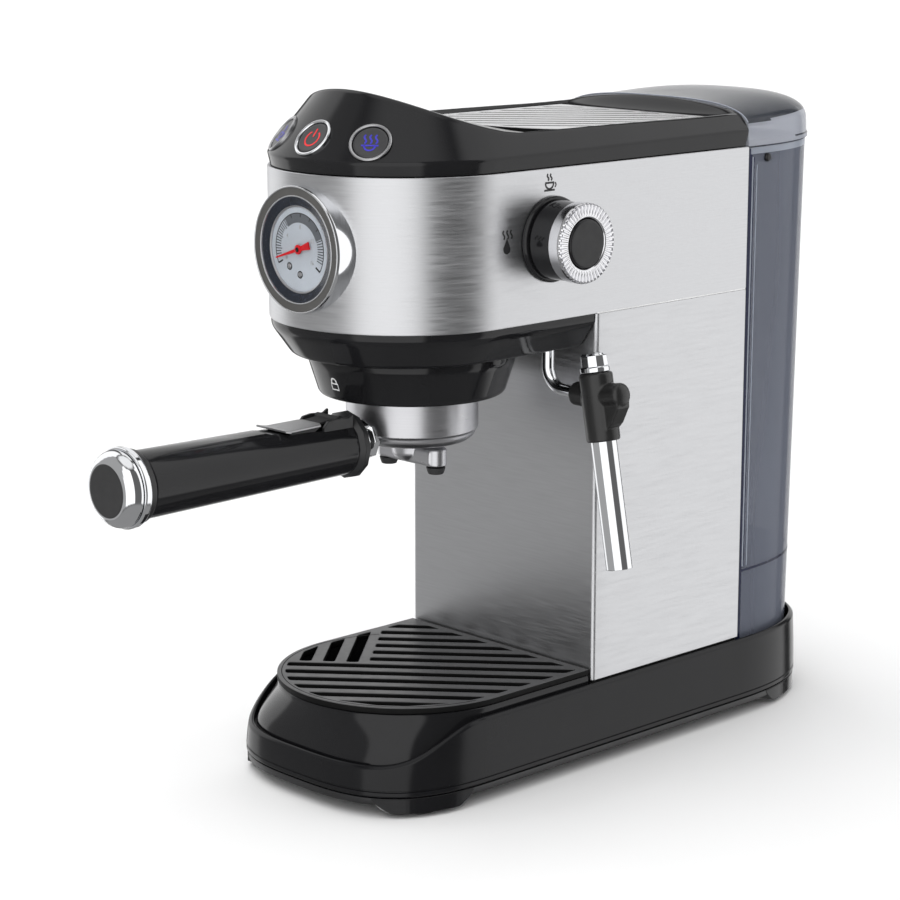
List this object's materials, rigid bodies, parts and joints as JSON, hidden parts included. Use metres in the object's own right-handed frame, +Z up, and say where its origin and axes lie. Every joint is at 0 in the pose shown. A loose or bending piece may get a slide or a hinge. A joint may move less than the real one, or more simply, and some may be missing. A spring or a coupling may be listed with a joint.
{
  "type": "espresso machine",
  "caption": "Slim pump espresso machine with a pressure gauge, steam wand, portafilter, drip tray and a lift-off rear water tank.",
  "frame": {"origin": "on the worktop under the middle of the machine's bounding box", "axes": "+Z up; -Y towards the user, where the portafilter's handle points; +X to the user's right, the side of the steam knob and wand"},
  "size_m": [0.1687, 0.4314, 0.3279],
  "materials": {
    "black_plastic": "gloss",
    "base_plastic": "satin",
    "grate_plastic": "satin",
    "brushed_steel": "brushed",
    "satin_steel": "satin",
    "bright_chrome": "polished",
    "knob_plastic": "satin",
    "handle_plastic": "gloss",
    "tip_plastic": "matt",
    "wand_rubber": "satin",
    "foot_rubber": "matt",
    "seal_rubber": "matt",
    "hose_silicone": "satin",
    "cast_aluminium": "cast",
    "valve_brass": "machined",
    "tank_clear": "gloss",
    "lid_clear": "gloss",
    "lens_clear": "gloss",
    "dial_print": "satin",
    "needle_red": "satin",
    "inner_plastic": "satin",
    "pump_plastic": "satin",
    "board_green": "satin",
    "button_face": "gloss"
  },
  "bodies": {
    "body": {"base_shell": "base_plastic", "base_plate": "base_plastic", "foot_front_left": "foot_rubber", "foot_front_right": "foot_rubber", "foot_rear_left": "foot_rubber", "foot_rear_right": "foot_rubber", "cord_gland": "seal_rubber", "tank_socket": "hose_silicone", "column_cover": "brushed_steel", "column_frame": "base_plastic", "head_band": "brushed_steel", "head_underside": "black_plastic", "head_frame": "inner_plastic", "group_cover": "black_plastic", "group_head": "cast_aluminium", "group_gasket": "seal_rubber", "shower_screen": "satin_steel", "top_cover": "black_plastic", "warming_plate": "satin_steel", "button_ring_coffee": "bright_chrome", "button_ring_power": "bright_chrome", "button_ring_steam": "bright_chrome", "switch_carrier": "inner_plastic", "gauge_bezel": "bright_chrome", "gauge_body": "inner_plastic", "gauge_dial": "dial_print", "gauge_lens": "lens_clear", "knob_flange": "knob_plastic", "steam_valve": "valve_brass", "thermoblock": "cast_aluminium", "pump": "pump_plastic", "control_board": "board_green", "inlet_hose": "hose_silicone", "pressure_hose": "hose_silicone"},
    "tray": {"drip_tray": "black_plastic"},
    "grate": {"drip_grate": "grate_plastic"},
    "coffee_button": {"button_coffee": "button_face"},
    "power_button": {"button_power": "button_face"},
    "steam_button": {"button_steam": "button_face"},
    "needle": {"gauge_needle": "needle_red"},
    "knob": {"knob_body": "knob_plastic", "knob_ring": "bright_chrome", "valve_stem": "valve_brass"},
    "portafilter": {"portafilter_body": "satin_steel", "filter_basket": "satin_steel", "spout": "satin_steel", "nozzle_tip_left": "tip_plastic", "nozzle_tip_right": "tip_plastic", "handle_grip": "handle_plastic", "handle_ring": "bright_chrome", "handle_cap": "bright_chrome"},
    "clip": {"basket_clip": "satin_steel"},
    "wand": {"steam_pipe": "bright_chrome", "wand_grip": "wand_rubber", "wand_cap": "bright_chrome", "wand_tube": "bright_chrome"},
    "tank": {"tank_body": "tank_clear", "tank_valve": "inner_plastic"},
    "lid": {"tank_lid": "lid_clear"},
    "bail": {"tank_handle": "lid_clear"}
  },
  "joints": [
    {"name": "tray_lift", "type": "slide", "parent": "body", "child": "tray", "axis": [0, 0, 1], "range_m": [0, 0.026]},
    {"name": "grate_lift", "type": "slide", "parent": "tray", "child": "grate", "axis": [0, 0, 1], "range_m": [0, 0.02]},
    {"name": "coffee_press", "type": "slide", "parent": "body", "child": "coffee_button", "axis": [0.397, 0.6627, -0.635], "range_m": [0, 0.0008], "stiffness_N_per_m": 200},
    {"name": "power_press", "type": "slide", "parent": "body", "child": "power_button", "axis": [0, 0.7587, -0.6514], "range_m": [0, 0.0008], "stiffness_N_per_m": 200},
    {"name": "steam_press", "type": "slide", "parent": "body", "child": "steam_button", "axis": [-0.397, 0.6627, -0.635], "range_m": [0, 0.0008], "stiffness_N_per_m": 200},
    {"name": "needle_sweep", "type": "hinge", "parent": "body", "child": "needle", "pos_m": [-0.01814, -0.08975, 0.2575], "axis": [0, 1, 0], "range_deg": [0, 240], "stiffness_Nm_per_rad": 0.0005},
    {"name": "knob_turn", "type": "hinge", "parent": "body", "child": "knob", "pos_m": [0.04806, -0.00835, 0.2592], "axis": [1, 0, 0], "range_deg": [0, 90]},
    {"name": "portafilter_turn", "type": "hinge", "parent": "body", "child": "portafilter", "pos_m": [-0.01814, -0.03705, 0.19], "axis": [0, 0, 1], "range_deg": [-45, 0]},
    {"name": "clip_fold", "type": "hinge", "parent": "portafilter", "child": "clip", "pos_m": [-0.01814, -0.08975, 0.1784], "axis": [-1, 0, 0], "range_deg": [0, 60]},
    {"name": "wand_swivel", "type": "hinge", "parent": "body", "child": "wand", "pos_m": [0.03086, 0.00425, 0.2043], "axis": [0, 0, 1], "range_deg": [-60, 20]},
    {"name": "tank_lift", "type": "slide", "parent": "body", "child": "tank", "axis": [0, 0, 1], "range_m": [0, 0.05]},
    {"name": "lid_lift", "type": "slide", "parent": "tank", "child": "lid", "axis": [0, 0, 1], "range_m": [0, 0.03]},
    {"name": "bail_fold", "type": "hinge", "parent": "tank", "child": "bail", "pos_m": [-0.01814, 0.14675, 0.285], "axis": [1, 0, 0], "range_deg": [0, 35]}
  ]
}
